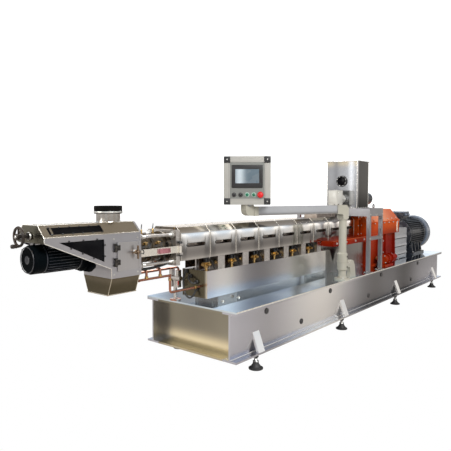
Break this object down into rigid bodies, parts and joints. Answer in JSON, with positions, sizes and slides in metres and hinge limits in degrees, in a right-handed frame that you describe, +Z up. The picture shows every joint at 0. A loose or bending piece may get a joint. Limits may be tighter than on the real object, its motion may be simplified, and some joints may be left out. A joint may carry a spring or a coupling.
{
  "type": "twin-screw food extruder",
  "caption": "Twin-screw extruder on a skid base: covered barrel, gearbox and motor, screw-fed hopper, hinged die-face cutter hood with chute, and a swinging operator panel.",
  "frame": {"origin": "on the floor, below the deck's centre and in the vertical plane between the two screws", "axes": "+X from the cutter to the main motor, +Y from the operator's side to the rear, +Z up"},
  "size_m": [5.1743, 0.7599, 1.373],
  "materials": {
    "frame_steel": "brushed satin stainless",
    "deck_steel": "mirror-like cold-rolled stainless",
    "brace_steel": "pale satin",
    "foot_black": "black pads, zinc stems",
    "cast_steel": "machined",
    "die_dark": "oiled black",
    "cover_sheet": "satin mirror",
    "hood_sheet": "satin",
    "chute_sheet": "glossy",
    "chrome": "polished",
    "brass": "cast",
    "copper": "dull copper",
    "cable_black": "satin",
    "gear_red": "gloss dark red",
    "gear_orange": "gloss orange",
    "guard_white": "satin white",
    "motor_dark": "satin blue-black",
    "cowl_blue": "satin grey-blue",
    "hopper_sheet": "mirror",
    "outlet_white": "satin grey-white",
    "arm_grey": "satin",
    "post_beige": "satin",
    "panel_alu": "anodised",
    "stop_red": "gloss",
    "button_green": "gloss",
    "knob_black": "matt",
    "wheel_black": "satin bakelite"
  },
  "bodies": {
    "frame": {"front_beam": "frame_steel", "rear_beam": "frame_steel", "cross_beams": "frame_steel", "deck_plate": "deck_steel", "foot_brackets": "brace_steel", "levelling_feet": "foot_black", "support_beam": "frame_steel", "pedestals": "frame_steel", "barrel_saddles": "cast_steel", "barrel_segments": "cast_steel", "feed_port": "cast_steel", "head_frame": "cast_steel", "die_head": "die_dark", "head_plate": "hood_sheet", "solenoid_valves": "brass", "water_pipes": "copper", "cables": "cable_black", "gearbox_base": "gear_red", "gearbox_cover": "gear_orange", "gearbox_lantern": "gear_red", "gearbox_fittings": "gear_red", "coupling_guard": "guard_white", "main_motor": "motor_dark", "motor_cowl": "cowl_blue", "feeder_stand": "frame_steel", "feed_hopper": "hopper_sheet", "feeder_outlet": "outlet_white", "feeder_motor": "motor_dark", "panel_post": "post_beige"},
    "motor_shaft": {"motor_shaft": "cast_steel"},
    "screw_front": {"screw_front": "cast_steel"},
    "screw_rear": {"screw_rear": "cast_steel"},
    "rear_covers": {"rear_covers": "cover_sheet"},
    "feed_screw": {"feed_screw": "cast_steel"},
    "swing_arm": {"swing_arm": "arm_grey"},
    "panel": {"panel_box": "panel_alu"},
    "emergency_stop": {"emergency_stop": "stop_red"},
    "push_button_1": {"push_button_1": "button_green"},
    "push_button_2": {"push_button_2": "button_green"},
    "selector_1": {"selector_1": "knob_black"},
    "selector_2": {"selector_2": "knob_black"},
    "hood": {"cutter_hood": "hood_sheet", "cutter_chute": "chute_sheet", "exhaust_collar": "chrome"},
    "hood_door": {"hood_door": "hood_sheet"},
    "door_latch": {"door_latch": "cast_steel"},
    "handwheel": {"handwheel": "wheel_black"},
    "cutter_motor": {"cutter_motor": "motor_dark"},
    "knife_head": {"knife_head": "cast_steel"},
    "clamp_bar": {"clamp_bar": "cast_steel"},
    "barrel_cover_1": {"barrel_cover_1": "cover_sheet"},
    "barrel_cover_2": {"barrel_cover_2": "cover_sheet"},
    "barrel_cover_3": {"barrel_cover_3": "cover_sheet"},
    "barrel_cover_4": {"barrel_cover_4": "cover_sheet"},
    "barrel_cover_5": {"barrel_cover_5": "cover_sheet"},
    "barrel_cover_6": {"barrel_cover_6": "cover_sheet"},
    "barrel_cover_7": {"barrel_cover_7": "cover_sheet"},
    "barrel_cover_8": {"barrel_cover_8": "cover_sheet"},
    "barrel_cover_9": {"barrel_cover_9": "cover_sheet"}
  },
  "joints": [
    {"name": "motor_spin", "type": "hinge", "parent": "frame", "child": "motor_shaft", "pos_m": [1.42, 0, 0.62], "axis": [1, 0, 0], "continuous": true},
    {"name": "screw_front_spin", "type": "hinge", "parent": "frame", "child": "screw_front", "pos_m": [0, -0.026, 0.77], "axis": [1, 0, 0], "continuous": true},
    {"name": "screw_rear_spin", "type": "hinge", "parent": "frame", "child": "screw_rear", "pos_m": [0, 0.026, 0.77], "axis": [1, 0, 0], "continuous": true},
    {"name": "cover_1_pull", "type": "slide", "parent": "frame", "child": "barrel_cover_1", "axis": [0, -1, 0], "range_m": [0, 0.13]},
    {"name": "cover_2_pull", "type": "slide", "parent": "frame", "child": "barrel_cover_2", "axis": [0, -1, 0], "range_m": [0, 0.13]},
    {"name": "cover_3_pull", "type": "slide", "parent": "frame", "child": "barrel_cover_3", "axis": [0, -1, 0], "range_m": [0, 0.13]},
    {"name": "cover_4_pull", "type": "slide", "parent": "frame", "child": "barrel_cover_4", "axis": [0, -1, 0], "range_m": [0, 0.13]},
    {"name": "cover_5_pull", "type": "slide", "parent": "frame", "child": "barrel_cover_5", "axis": [0, -1, 0], "range_m": [0, 0.13]},
    {"name": "cover_6_pull", "type": "slide", "parent": "frame", "child": "barrel_cover_6", "axis": [0, -1, 0], "range_m": [0, 0.13]},
    {"name": "cover_7_pull", "type": "slide", "parent": "frame", "child": "barrel_cover_7", "axis": [0, -1, 0], "range_m": [0, 0.13]},
    {"name": "cover_8_pull", "type": "slide", "parent": "frame", "child": "barrel_cover_8", "axis": [0, -1, 0], "range_m": [0, 0.13]},
    {"name": "cover_9_pull", "type": "slide", "parent": "frame", "child": "barrel_cover_9", "axis": [0, -1, 0], "range_m": [0, 0.13]},
    {"name": "rear_covers_pull", "type": "slide", "parent": "frame", "child": "rear_covers", "axis": [0, 1, 0], "range_m": [0, 0.13]},
    {"name": "feed_screw_spin", "type": "hinge", "parent": "frame", "child": "feed_screw", "pos_m": [0, -0.077, 1.035], "axis": [1, 0, 0], "continuous": true},
    {"name": "arm_swing", "type": "hinge", "parent": "frame", "child": "swing_arm", "pos_m": [-0.55, -0.325, 0.9], "axis": [0, 0, 1], "range_deg": [-60, 120]},
    {"name": "panel_swivel", "type": "hinge", "parent": "swing_arm", "child": "panel", "pos_m": [-1.48426, -0.08338, 1], "axis": [0, 0, 1], "range_deg": [-90, 90]},
    {"name": "emergency_stop_press", "type": "slide", "parent": "panel", "child": "emergency_stop", "axis": [0.809, 0.5878, 0], "range_m": [0, 0.004], "stiffness_N_per_m": 400},
    {"name": "push_button_1_press", "type": "slide", "parent": "panel", "child": "push_button_1", "axis": [0.809, 0.5878, 0], "range_m": [0, 0.003], "stiffness_N_per_m": 300},
    {"name": "push_button_2_press", "type": "slide", "parent": "panel", "child": "push_button_2", "axis": [0.809, 0.5878, 0], "range_m": [0, 0.003], "stiffness_N_per_m": 300},
    {"name": "selector_1_turn", "type": "hinge", "parent": "panel", "child": "selector_1", "pos_m": [-1.57585, -0.04239, 1.066], "axis": [-0.809, -0.5878, 0], "range_deg": [-45, 45]},
    {"name": "selector_2_turn", "type": "hinge", "parent": "panel", "child": "selector_2", "pos_m": [-1.55028, -0.07758, 1.066], "axis": [-0.809, -0.5878, 0], "range_deg": [-45, 45]},
    {"name": "hood_swing", "type": "hinge", "parent": "frame", "child": "hood", "pos_m": [-2.449, 0.13, 0.75], "axis": [0, 0, 1], "range_deg": [-100, 0]},
    {"name": "door_swing", "type": "hinge", "parent": "hood", "child": "hood_door", "pos_m": [-2.6033, -0.1243, 0.75], "axis": [0, 0, 1], "range_deg": [-110, 0]},
    {"name": "latch_turn", "type": "hinge", "parent": "hood_door", "child": "door_latch", "pos_m": [-2.4803, -0.12, 0.772], "axis": [0, 1, 0], "range_deg": [0, 90]},
    {"name": "handwheel_turn", "type": "hinge", "parent": "hood", "child": "handwheel", "pos_m": [-3.03, 0, 0.877], "axis": [1, 0, 0], "range_deg": [0, 1440]},
    {"name": "knife_advance", "type": "slide", "parent": "hood", "child": "cutter_motor", "axis": [-1, 0, 0], "range_m": [0, 0.02]},
    {"name": "knife_spin", "type": "hinge", "parent": "cutter_motor", "child": "knife_head", "pos_m": [-2.46, 0, 0.77], "axis": [1, 0, 0], "continuous": true},
    {"name": "clamp_swing", "type": "hinge", "parent": "frame", "child": "clamp_bar", "pos_m": [-2.166, -0.128, 0.76], "axis": [0, 0, 1], "range_deg": [0, 90]}
  ],
  "couplings": [
    {"joint": "screw_front_spin", "follows": "motor_spin", "ratio": 0.25},
    {"joint": "screw_rear_spin", "follows": "motor_spin", "ratio": 0.25},
    {"joint": "handwheel_turn", "follows": "knife_advance", "rad_per_m": 1256.6}
  ]
}
